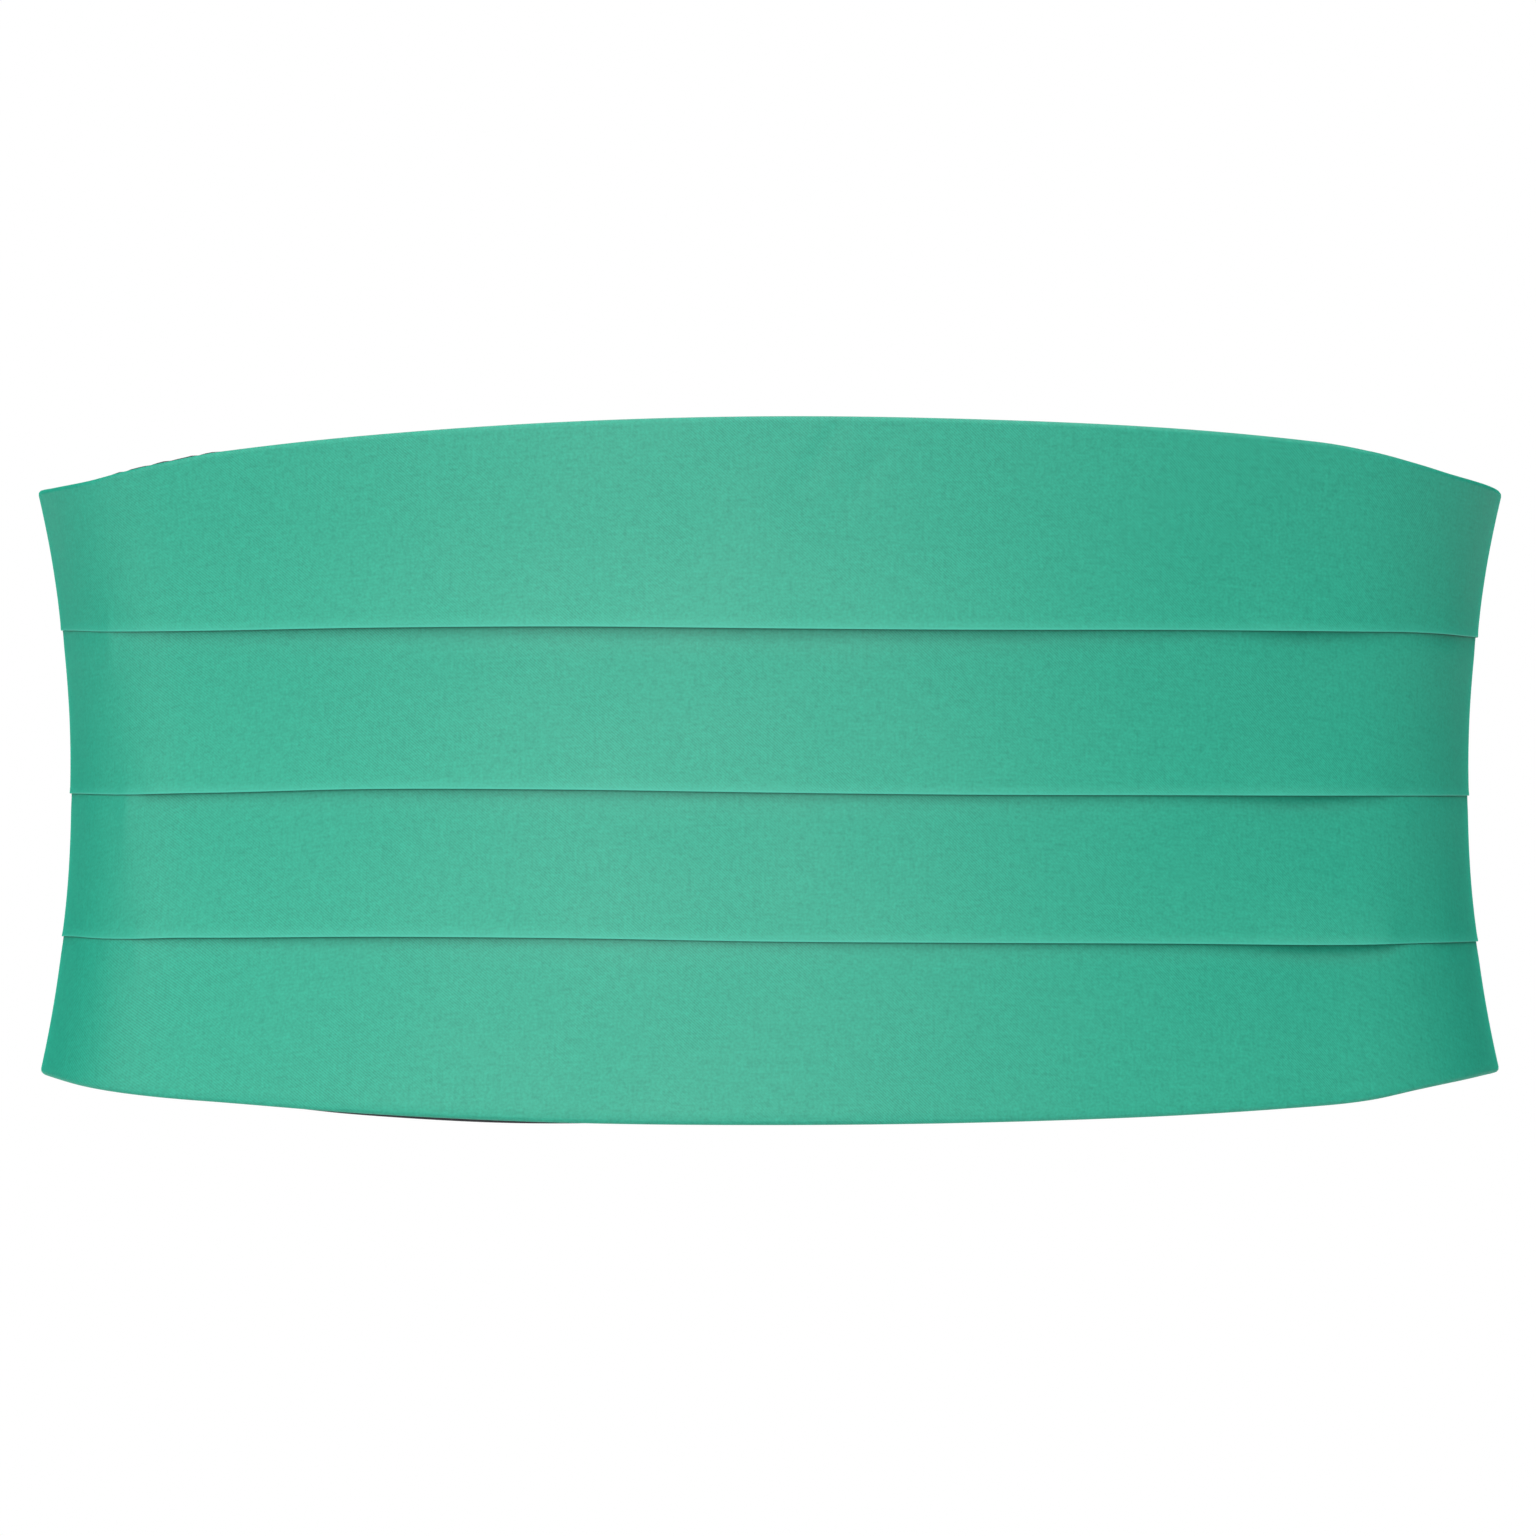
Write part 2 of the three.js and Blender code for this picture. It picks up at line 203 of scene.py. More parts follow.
def lay_out_loop():
    arcs = []
    x = y = heading = along = 0.0

    def add_arc(radius, end):
        nonlocal x, y, heading, along
        centre = (x - radius * math.sin(heading), y + radius * math.cos(heading))
        arcs.append((along, radius, heading, centre))
        x = centre[0] + radius * math.sin(end)
        y = centre[1] - radius * math.cos(end)
        along += radius * (end - heading)
        heading = end

    for row in LOOP_ARCS:
        add_arc(row["radius"] * WAIST_WIDTH, math.radians(row["heading"]))
    add_arc((x - CLASP_STRETCH) / math.sin(heading), math.pi)
    return arcs, y, along, along + CLASP_STRETCH


loop_arcs, loop_depth, arcs_end, loop_half = lay_out_loop()
panel_half = loop_half - BACK_GAP / 2


def on_loop(distance):
    """Points on the loop and their outward directions, for an array of distances from the front's middle."""
    side = np.where(distance < 0, -1.0, 1.0)
    along = np.abs(distance)
    starts = np.array([arc[0] for arc in loop_arcs])
    which = np.clip(np.searchsorted(starts, along, side="right") - 1, 0, len(loop_arcs) - 1)
    radius = np.array([arc[1] for arc in loop_arcs])[which]
    centre = np.array([arc[3] for arc in loop_arcs])[which]
    heading = np.array([arc[2] for arc in loop_arcs])[which] + (along - starts[which]) / radius
    straight = along > arcs_end
    heading = np.where(straight, math.pi, heading)
    x = np.where(straight, loop_half - along, centre[:, 0] + radius * np.sin(heading))
    y = np.where(straight, loop_depth, centre[:, 1] - radius * np.cos(heading)) - loop_depth / 2
    return np.stack([side * x, y], 1), np.stack([side * np.sin(heading), -np.cos(heading)], 1)


def column_at(rows, column, along):
    """A smooth curve through one column of a table, at an array of shares along the panel."""
    places = np.array([row[0] for row in rows], float)
    values = np.array([row[column] for row in rows], float)
    slopes = np.empty_like(values)
    slopes[1:-1] = (values[2:] - values[:-2]) / (places[2:] - places[:-2])
    slopes[0] = (values[1] - values[0]) / (places[1] - places[0])
    slopes[-1] = (values[-1] - values[-2]) / (places[-1] - places[-2])
    at = np.clip(np.searchsorted(places, along, side="right") - 1, 0, len(places) - 2)
    span = places[at + 1] - places[at]
    t = (along - places[at]) / span
    rise = t * t * (3 - 2 * t)
    bend = t * (1 - t) * span
    straight = values[at] + (values[at + 1] - values[at]) * rise
    return straight + slopes[at] * bend * (1 - t) - slopes[at + 1] * bend * t


def panel_value(column, distance):
    return column_at(PANEL_ROWS, PANEL_COLUMNS.index(column), distance / panel_half)


def height_at(column, distance):
    return FRONT_HEIGHT * panel_value(column, distance)


def flare_at(distance, height):
    away = np.abs(height / FRONT_HEIGHT - CLOSEST_SHARE) / FLARE_SHARE
    return FLARE_DEPTH * panel_value("flare", distance)[:, None] * away**FLARE_POWER


def smooth_step(low, high, value):
    t = np.clip((value - low) / (high - low), 0, 1)
    return t * t * (3 - 2 * t)


def across(values):
    """An array of values along the panel, as a column to combine with rows of a section."""
    return np.asarray(values)[:, None]


def edge_roll(edge, level, radius, way, count=7):
    """Levels and heights round a rolled edge, from the outer face to the inner one."""
    angle = np.linspace(0, math.pi, count)[None, :]
    levels = across(level) - radius * (1 - np.cos(angle))
    return levels, across(edge - way * radius) + way * radius * np.sin(angle)


def satin_section(distance):
    """Levels and heights of the satin at each distance, from the top edge's turned-in hem to the bottom's.

    The third grid is painted light: 1 for the painted highlight on a fold's edge and -1 for the painted shade
    in the crease under it."""
    ones = np.ones_like(distance)
    top = height_at("top", distance)
    bottom = height_at("bottom", distance)
    depth = height_at("depth", distance)
    dip = FRONT_HEIGHT * DIP_SHARE
    turn = LAYER_PITCH / 2
    parts = []

    def add(level, height, painted_light=0.0):
        parts.append(np.broadcast_arrays(level, height, painted_light))

    hem = np.linspace(1, 0, 4, endpoint=False)[None, :]
    add(across(-2 * EDGE_RADIUS * ones), across(top - EDGE_RADIUS) - EDGE_TURN_IN * hem)
    level, height = edge_roll(top, 0 * ones, EDGE_RADIUS, 1)
    add(level[:, ::-1], height[:, ::-1])
    start = top - EDGE_RADIUS
    start_level = 0 * ones
    near = np.array(NEAR_FOLD)[None, :] * MM
    for number, rows in enumerate(BAND_ROWS, 1):
        fold = height_at(f"fold{number}", distance)
        lip = column_at(LIFT_ROWS, number, distance / panel_half) * MM
        fold_level = lip + LIP_BULB
        upper, lower = across(start) - near, across(fold + turn) + near[:, ::-1]
        t = np.linspace(0, 1, rows + 2)[None, 1:-1]
        height = np.concatenate([upper, upper[:, -1:] + (lower[:, :1] - upper[:, -1:]) * t, lower], 1)
        emerge = smooth_step(0, dip, across(start) - height)
        over_hidden = smooth_step(RIDGE_WIDTH, -RIDGE_WIDTH, height - across(fold + depth))
        ridge = RIDGE_STEPS[number - 1] * MM * over_hidden
        reach = LEAN_REACH * depth

        def lean_at(height):
            return across(lip) * np.clip((across(fold + reach) - height) / across(reach), 0, 1) ** LEAN_POWER

        bulb = LIP_BULB * smooth_step(LIP_REACH, 0, height - across(fold))
        # Painted highlight near the fold's edge and on its rim, and painted shade in the crease under the fold
        # above.
        painted_highlight = PAINTED_HIGHLIGHT_SHARE * smooth_step(PAINTED_HIGHLIGHT_REACH, 0, height - across(fold))
        painted_highlight = painted_highlight + PAINTED_RIM_SHARE * smooth_step(PAINTED_RIM_REACH, 0, height - across(fold))
        painted_shade = smooth_step(PAINTED_SHADE_REACH, 0, across(start) - height) * (number > 1)
        add(across(start_level) * (1 - emerge) + ridge + lean_at(height) + bulb, height, painted_highlight - painted_shade)
        level, height = edge_roll(fold, fold_level, turn, -1)
        # The fold's roll is painted with the highlight.
        add(level, height, np.array([1, 1, 1, 1, 0.4, 0, 0])[None, :])
        inside = across(fold + turn) + across(depth - 2 * turn) * HIDDEN_ROWS
        hidden = lean_at(inside) + LIP_BULB * (1 - HIDDEN_ROWS) - LAYER_PITCH
        add(hidden, inside)
        add(*edge_roll(fold + depth, hidden[:, -1], turn, 1, 3))
        start_level = np.minimum(fold_level - 2 * LAYER_PITCH, -VALLEY_SHARE * lip)
        sunk = across(start_level - fold_level + 2 * LAYER_PITCH) * smooth_step(1, 0, HIDDEN_ROWS)
        # The pleat's hidden layers and the crease under the fold are painted dark, as painted shade.
        add((hidden - LAYER_PITCH + sunk)[:, ::-1], inside[:, ::-1], -1.0)
        start = fold + turn
        add(across(start_level), across(start), -1.0)
    upper, lower = across(start) - near, across(bottom + EDGE_RADIUS)
    t = np.linspace(0, 1, LAST_BAND_ROWS + 2)[None, 1:-1]
    height = np.concatenate([upper, upper[:, -1:] + (lower - upper[:, -1:]) * t], 1)
    emerge = smooth_step(0, dip, across(start) - height)
    # The last band is painted dark under the fold above it, as painted shade.
    add(across(start_level) * (1 - emerge), height, -smooth_step(PAINTED_SHADE_REACH, 0, across(start) - height))
    add(*edge_roll(bottom, 0 * ones, EDGE_RADIUS, -1))
    hem = np.linspace(0, 1, 5)[None, 1:]
    add(across(-2 * EDGE_RADIUS * ones), across(bottom + EDGE_RADIUS) + EDGE_TURN_IN * hem)
    return [np.concatenate([part[number] for part in parts], 1) for number in range(3)]


def puckers(distance, height):
    """How far forward the small dents and puckers bring the cloth, at each distance and height."""
    total = np.zeros_like(height)
    for along, up, reach, rise, lean, forward in PUCKER_ROWS:
        aside = across(distance - along * panel_half)
        above = height - up * FRONT_HEIGHT
        angle = math.radians(lean)
        a = (aside * math.cos(angle) + above * math.sin(angle)) / (reach * MM)
        b = (above * math.cos(angle) - aside * math.sin(angle)) / (rise * MM)
        total += forward * MM * np.exp(-a * a - b * b)
    return total


def turned_ends(distance, levels, heights, folded_level, count=7):
    """The sheet with both ends rolled in: distances, levels and heights with columns added at each end.

    Each layer turns inside the one in front of it, and they all lie against the lining's outer side."""
    angle = np.linspace(0, math.pi, count)[1:]
    hem = np.linspace(0, 1, 4)[1:] * END_TURN_IN
    places = [np.broadcast_to(across(distance), levels.shape)]
    sheets, tops = [levels], [heights]
    for end, way in ((0, -1), (-1, 1)):
        outer = levels[end]
        inner = np.minimum(folded_level[end] - outer / 2, outer - LAYER_PITCH)
        reach = END_REACH + outer / 2
        rolled = np.stack([(outer + inner) / 2 + (outer - inner) / 2 * math.cos(a) for a in angle])
        out = np.stack([distance[end] + way * reach * math.sin(a) for a in angle])
        back = np.stack([distance[end] - way * step + 0 * reach for step in hem])
        flat = np.stack([inner] * len(hem))
        high = np.stack([heights[end]] * (len(angle) + len(hem)))
        both = [np.concatenate([out, back]), np.concatenate([rolled, flat]), high]
        for pile, extra in zip((places, sheets, tops), both):
            if way < 0:
                pile.insert(0, extra[::-1])
            else:
                pile.append(extra)
    return [np.concatenate(pile) for pile in (places, sheets, tops)]


def sheet_mesh(name, places, cloth_along, cloth_up):
    """A smooth mesh from a grid of places, with the cloth's own coordinates in metres as a UV map."""
    columns, rows = places.shape[:2]
    index = np.arange(columns * rows).reshape(columns, rows)
    faces = np.stack([index[:-1, :-1], index[:-1, 1:], index[1:, 1:], index[1:, :-1]], -1).reshape(-1, 4)
    mesh = bpy.data.meshes.new(name)
    mesh.from_pydata(places.reshape(-1, 3).tolist(), [], faces.tolist())
    corners = faces.reshape(-1)
    column, row = np.divmod(corners, rows)
    for layer_name, u, v in (
        ("cloth", cloth_along.reshape(-1)[corners], cloth_up.reshape(-1)[corners]),
        ("OFBake", 0.01 + 0.98 * column / (columns - 1), 0.01 + 0.98 * row / (rows - 1)),
    ):
        layer = mesh.uv_layers.new(name=layer_name)
        layer.uv.foreach_set("vector", np.stack([u, v], 1).astype(np.float32).ravel())
    mesh.polygons.foreach_set("use_smooth", np.ones(len(faces), bool))
    mesh.update()
    return mesh


def loop_places(distances, levels, heights):
    """Places in the scene for grids of distances along the loop, levels outwards and heights."""
    points, outward = on_loop(distances.reshape(-1))
    flat = points + outward * levels.reshape(-1)[:, None]
    return np.concatenate([flat, heights.reshape(-1)[:, None]], 1).reshape(*heights.shape, 3)


def lengths_along(steps, axis):
    """The running length of steps between neighbours, starting at nought."""
    run = np.cumsum(steps, axis)
    return np.concatenate([np.zeros_like(np.take(run, [0], axis)), run], axis)


def add_piece(name, mesh, node):
    piece = bpy.data.objects.new(name, mesh)
    bpy.context.scene.collection.objects.link(piece)
    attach(piece, "root")
    if node:
        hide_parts(node)
    return piece


def new_material(name, color, roughness, metallic=0.0):
    material = bpy.data.materials.new(name)
    material.use_nodes = True
    shader = material.node_tree.nodes["Principled BSDF"]
    shader.inputs["Base Color"].default_value = (*color, 1)
    shader.inputs["Roughness"].default_value = roughness
    shader.inputs["Metallic"].default_value = metallic
    return material


def add_node(material, kind, inputs=(), **settings):
    """A node with its settings, and its inputs given as values or as other nodes' outputs."""
    node = material.node_tree.nodes.new(kind)
    for name, value in settings.items():
        setattr(node, name, value)
    for name, value in dict(inputs).items():
        if isinstance(value, bpy.types.NodeSocket):
            material.node_tree.links.new(value, node.inputs[name])
        else:
            node.inputs[name].default_value = value
    return node


def feed(material, socket_name, output):
    shader = material.node_tree.nodes["Principled BSDF"]
    material.node_tree.links.new(output, shader.inputs[socket_name])


def calculate(material, operation, *values):
    return add_node(material, "ShaderNodeMath", dict(enumerate(values)), operation=operation).outputs[0]


def noise(material, vector, scale, detail=2.0, roughness=0.5):
    inputs = {"Vector": vector, "Scale": scale, "Detail": detail, "Roughness": roughness}
    return add_node(material, "ShaderNodeTexNoise", inputs).outputs[0]


def spread(material, value, low, high, to_low=0.0, to_high=1.0):
    inputs = {0: value, 1: low, 2: high, 3: to_low, 4: to_high}
    return add_node(material, "ShaderNodeMapRange", inputs).outputs[0]


def drawn_out(material, vector, stretch):
    """The same coordinates, with the patterns on them drawn out where a part of stretch is under one."""
    return add_node(material, "ShaderNodeMapping", {"Vector": vector, "Scale": stretch}).outputs[0]


def weigh(material, parts, total=0.0):
    """The sum of outputs, each times its own weight, and of a fixed number."""
    for value, weight in parts:
        inputs = {0: value, 1: weight, 2: total}
        total = add_node(material, "ShaderNodeMath", inputs, operation="MULTIPLY_ADD").outputs[0]
    return total


def ripple(material, vector, direction, pitch):
    """A sine across lines that are pitch apart, running at right angles to direction."""
    length = math.hypot(*direction)
    scale = [2 * math.pi * part / (length * pitch) for part in direction]
    phase = add_node(material, "ShaderNodeVectorMath", {0: vector, 1: (*scale, 0)}, operation="DOT_PRODUCT")
    return calculate(material, "SINE", phase.outputs["Value"])


def blend_colors(material, factor, first, second):
    colors = [color if isinstance(color, bpy.types.NodeSocket) else (*color, 1) for color in (first, second)]
    inputs = {0: factor, 6: colors[0], 7: colors[1]}
    return add_node(material, "ShaderNodeMix", inputs, data_type="RGBA").outputs[2]


satin_end = panel_half - SATIN_SETBACK
distance = np.linspace(-satin_end, satin_end, FRONT_COLUMNS)
levels, heights, painted_light = satin_section(distance)
from_edge = np.minimum(
    across(height_at("top", distance)) - heights, heights - across(height_at("bottom", distance)))
edge_level = -2 * EDGE_RADIUS - LAYER_PITCH
folded_level = edge_level + (BACK_LEVEL + END_ROOM - edge_level) * smooth_step(0, EDGE_SLOPE, from_edge)
places, levels, heights = turned_ends(distance, levels, heights, folded_level)
middle_row = places[:, places.shape[1] // 2]
shown = levels + flare_at(middle_row, heights) + puckers(middle_row, heights)
satin_places = loop_places(places, shown, heights)
up = -lengths_along(np.hypot(np.diff(levels, axis=1), np.diff(heights, axis=1)), 1)
along = np.broadcast_to(across(np.sort(middle_row)), up.shape)
front = add_piece("satin_front", sheet_mesh("satin_front", satin_places, along, up), "pleated_front")
# The grid of painted light goes on the front as an attribute: painted highlight at the folds' edges, painted
# shade in the creases.
added = (len(places) - len(painted_light)) // 2
painted_light = np.pad(painted_light, ((added, added), (0, 0)), mode="edge")
painted_light_attribute = front.data.attributes.new("painted_light", "FLOAT", "POINT")
painted_light_attribute.data.foreach_set("value", painted_light.astype(np.float32).ravel())

satin = new_material("satin", SATIN_COLOR, 0.48)
satin_shader = satin.node_tree.nodes["Principled BSDF"]
satin_shader.inputs["Specular IOR Level"].default_value = 0.61
satin_shader.inputs["Sheen Weight"].default_value = 0.5
satin_shader.inputs["Sheen Roughness"].default_value = 0.3
satin_shader.inputs["Sheen Tint"].default_value = (*SATIN_SHEEN, 1)
cloth = add_node(satin, "ShaderNodeUVMap", uv_map="cloth").outputs[0]
patches = spread(satin, noise(satin, cloth, 34), 0.4, 0.62)
twill = calculate(satin, "MULTIPLY", ripple(satin, cloth, (1, 1.08), TWILL_PITCH), patches)
speckle = noise(satin, cloth, 1900, 1.0)
flecks = noise(satin, cloth, 620, 1.0)
warp_yarns = noise(satin, drawn_out(satin, cloth, (1, 0.14, 1)), 1500, 1.0)
weft_yarns = noise(satin, drawn_out(satin, cloth, (0.14, 1, 1)), 1500, 1.0)
weave = ((twill, 0.34), (speckle, 1.14), (flecks, 0.6), (warp_yarns, 0.4), (weft_yarns, 0.4))
tone = weigh(satin, weave, -0.75)
dye_and_painted_light = blend_colors(satin, tone, SATIN_COLOR, SATIN_LIGHT)
# Painted light: the colour turns paler as a painted highlight at the folds' edges and darker as painted shade
# in the creases.
painted_light_mask = add_node(satin, "ShaderNodeAttribute", attribute_name="painted_light").outputs["Fac"]
dye_and_painted_light = blend_colors(satin, spread(satin, painted_light_mask, 0, 1), dye_and_painted_light, SATIN_PAINTED_HIGHLIGHT)
feed(satin, "Base Color", blend_colors(satin, spread(satin, painted_light_mask, 0, -1), dye_and_painted_light, SATIN_PAINTED_SHADE))
relief = calculate(satin, "ADD", calculate(satin, "MULTIPLY", twill, 0.4), speckle)
bump = add_node(satin, "ShaderNodeBump", {"Height": relief, "Strength": 1.0, "Distance": 0.012 * MM})
feed(satin, "Normal", bump.outputs[0])
feed(satin, "Roughness", spread(satin, noise(satin, cloth, 40), 0.3, 0.7, 0.46, 0.51))
front.data.materials.append(satin)

# The lining: a plain-woven dark cloth behind the pleats. Its edges are turned in at the seam with the satin,
# and it creeps past the satin's edge in two places, at the top left and under the front's left half.
LINING_RADIUS = 0.3 * MM
LINING_GAP = 0.15 * MM
LINING_TURN_IN = 6 * MM
LINING_SETBACK = 1.4 * MM
LINING_COLUMNS = 420
LINING_ROWS = 60
# How far the lining's edge shows past the satin's, at the top and the bottom, in millimetres.
SHOWING_ROWS = [
    (-1, -0.5, -0.5),
    (-0.475, -0.4, -0.4),
    (-0.45, 0.16, -0.4),
    (-0.425, 0.3, -0.4),
    (-0.39, 0.29, -0.35),
    (-0.36, 0.22, -0.3),
    (-0.335, -0.1, -0.2),
    (-0.3, -0.4, 0.05),
    (-0.27, -0.4, 0.3),
    (-0.2, -0.4, 0.5),
    (-0.16, -0.4, 0.42),
    (-0.12, -0.4, 0.08),
    (-0.08, -0.4, -0.4),
    (1, -0.5, -0.5),
]
# How far the top seam wanders between its stitches, and over what length.
SEAM_WANDER = 0.13 * MM
SEAM_PITCH = 5.2 * MM
# Faint slanting wrinkles on the inside: their height, two wave lengths and slant, and the level they start at.
WRINKLE_HEIGHT = 0.12 * MM
WRINKLE_WAVES = (9 * MM, 41 * MM)
WRINKLE_SLANT = 14
WRINKLE_LEVEL = -1.8 * MM
LINING_COLOR = (0.012, 0.014, 0.018)
LINING_LIGHT = (0.026, 0.028, 0.034)


def lining_section(distance):
    """Levels and heights of the lining, from its top hem over the edge and down inside to its bottom hem."""
    shows = [column_at(SHOWING_ROWS, column, distance / panel_half) * MM for column in (1, 2)]
    waves = distance * 2 * math.pi / SEAM_PITCH
    wander = 0.6 * np.sin(waves) + 0.4 * np.sin(waves / 0.62)
    shows[0] = shows[0] + SEAM_WANDER * wander * smooth_step(-0.4 * MM, 0, shows[0])
    top = height_at("top", distance) + shows[0]
    bottom = height_at("bottom", distance) - shows[1]
    outer = (-2 * EDGE_RADIUS - LINING_GAP) * np.ones_like(distance)
    inner = outer - 2 * LINING_RADIUS
    hem = np.linspace(1, 0, 4, endpoint=False)[None, :]
    parts = [(across(outer) + 0 * hem, across(top - LINING_RADIUS) - LINING_TURN_IN * hem)]
    parts.append(edge_roll(top, outer, LINING_RADIUS, 1))
    t = np.linspace(0, 1, LINING_ROWS + 2)[None, 1:-1]
    height = across(top - LINING_RADIUS) + across(bottom - top + 2 * LINING_RADIUS) * t
    inside = smooth_step(0, EDGE_SLOPE, np.minimum(across(top) - height, height - across(bottom)))
    parts.append((across(inner) + (BACK_LEVEL - across(inner)) * inside, height))
    level, height = edge_roll(bottom, outer, LINING_RADIUS, -1)
    parts.append((level[:, ::-1], height[:, ::-1]))
    hem = np.linspace(0, 1, 5)[None, 1:]
    parts.append((across(outer) + 0 * hem, across(bottom + LINING_RADIUS) + LINING_TURN_IN * hem))
    return np.concatenate([part[0] for part in parts], 1), np.concatenate([part[1] for part in parts], 1)


lining_end = panel_half - LINING_SETBACK
distance = np.linspace(-lining_end, lining_end, LINING_COLUMNS)
levels, heights = lining_section(distance)
short_waves = np.sin(across(distance) / WRINKLE_WAVES[0] + WRINKLE_SLANT * heights / FRONT_HEIGHT)
long_waves = np.sin(across(distance) / WRINKLE_WAVES[1] + 1)
wrinkles = WRINKLE_HEIGHT * short_waves * long_waves * smooth_step(WRINKLE_LEVEL, BACK_LEVEL, levels)
shown = levels + wrinkles + flare_at(distance, heights)
lining_places = loop_places(np.broadcast_to(across(distance), levels.shape), shown, heights)
up = -lengths_along(np.hypot(np.diff(levels, axis=1), np.diff(heights, axis=1)), 1)
along = np.broadcast_to(across(distance), up.shape)
lining_mesh = sheet_mesh("lining_cloth", lining_places, along, up)
lining = add_piece("lining_cloth", lining_mesh, "lining")

lining_material = new_material("lining", LINING_COLOR, 0.6)
cloth = add_node(lining_material, "ShaderNodeUVMap", uv_map="cloth").outputs[0]
THREAD_PITCH = 0.35 * MM
warp = ripple(lining_material, cloth, (1, 0), THREAD_PITCH)
weft = ripple(lining_material, cloth, (0, 1), THREAD_PITCH)
weave = calculate(lining_material, "MULTIPLY", warp, weft)
slubs = noise(lining_material, cloth, 900)
tone = calculate(lining_material, "ADD", calculate(lining_material, "MULTIPLY", weave, 0.3), slubs)
feed(lining_material, "Base Color", blend_colors(lining_material, tone, LINING_COLOR, LINING_LIGHT))
bump = add_node(lining_material, "ShaderNodeBump", {"Height": tone, "Strength": 1.0, "Distance": 0.02 * MM})
feed(lining_material, "Normal", bump.outputs[0])
feed(lining_material, "Roughness", spread(lining_material, slubs, 0.3, 0.7, 0.5, 0.65))
lining.data.materials.append(lining_material)

# The two straps: ribbed black elastic webbing. Each is sewn with a boxed cross inside the end of the panel,
# passes through the clasp's slot round its outer bar, and lies back on itself under two rows of stitches.
STRAP_WIDTH = 30 * MM
STRAP_THICKNESS = 1.2 * MM
STRAP_OVERLAP = 22 * MM
STRAP_FOLD_BACK = 16 * MM
STRAP_SLOPE = 7 * MM
STRAP_MEET = 6.4 * MM
LAYER_GAP = 0.35 * MM
TAIL_GAP = 0.1 * MM
STRAP_LEVEL = -5.2 * MM
CLASP_LEVEL = -3.45 * MM
CLASP_WIDTH = 38 * MM
CLASP_THICKNESS = 1.6 * MM
CLASP_BAR = 3.2 * MM
WEBBING_STEP = 0.3 * MM
RIB_PITCH = 1.25 * MM
YARN_PITCH = 0.62 * MM
CHEVRON_PITCH = 0.4 * MM
RIB_HEIGHT = 0.07 * MM
SELVEDGE = 1.6 * MM
WEBBING_COLOR = (0.011, 0.012, 0.014)
WEBBING_LIGHT = (0.036, 0.038, 0.043)
THREAD_COLOR = (0.030, 0.032, 0.036)


def smooth_path(points, step):
    """A path through points, evenly spaced and rounded at its corners, with its length."""
    points = np.array(points)
    run = lengths_along(np.linalg.norm(np.diff(points, axis=0), axis=1), 0)
    at = np.linspace(0, run[-1], int(run[-1] / step) + 1)
    path = np.stack([np.interp(at, run, points[:, 0]), np.interp(at, run, points[:, 1])], 1)
    for _ in range(6):
        path[1:-1] = (path[:-2] + 2 * path[1:-1] + path[2:]) / 4
    return path, run[-1]


def strap_line():
    """The strap's middle line as distances from the middle of the back and levels."""
    bar_edge = CLASP_WIDTH / 2 - CLASP_BAR
    radius = (CLASP_THICKNESS + STRAP_THICKNESS) / 2 + LAYER_GAP
    meet = CLASP_WIDTH / 2 + STRAP_MEET
    sewn_level = BACK_LEVEL - STRAP_THICKNESS / 2 - LINING_GAP
    points = [
        (BACK_GAP / 2 + STRAP_OVERLAP, sewn_level),
        (BACK_GAP / 2 + 1 * MM, sewn_level),
        (BACK_GAP / 2 - STRAP_SLOPE, STRAP_LEVEL),
    ]
    for angle in np.linspace(0, math.pi, 13):
        points.append((bar_edge - radius * math.sin(angle), CLASP_LEVEL - radius * math.cos(angle)))
    points.append((CLASP_WIDTH / 2 + LAYER_GAP, CLASP_LEVEL + radius))
    back_level = STRAP_LEVEL + STRAP_THICKNESS + TAIL_GAP
    points += [(meet, back_level), (meet + STRAP_FOLD_BACK, back_level)]
    fine = []
    for first, second in zip(points, points[1:]):
        steps = max(int(math.dist(first, second) / (0.5 * MM)), 1)
        shares = [number / steps for number in range(steps)]
        fine += [[a + (b - a) * share for a, b in zip(first, second)] for share in shares]
    return np.array([*fine, points[-1]])


def on_plan(side, line):
    """Points seen from above for distances from the middle of the back and levels."""
    points, outward = on_loop(side * (loop_half - line[:, 0]))
    return points + outward * line[:, 1:]


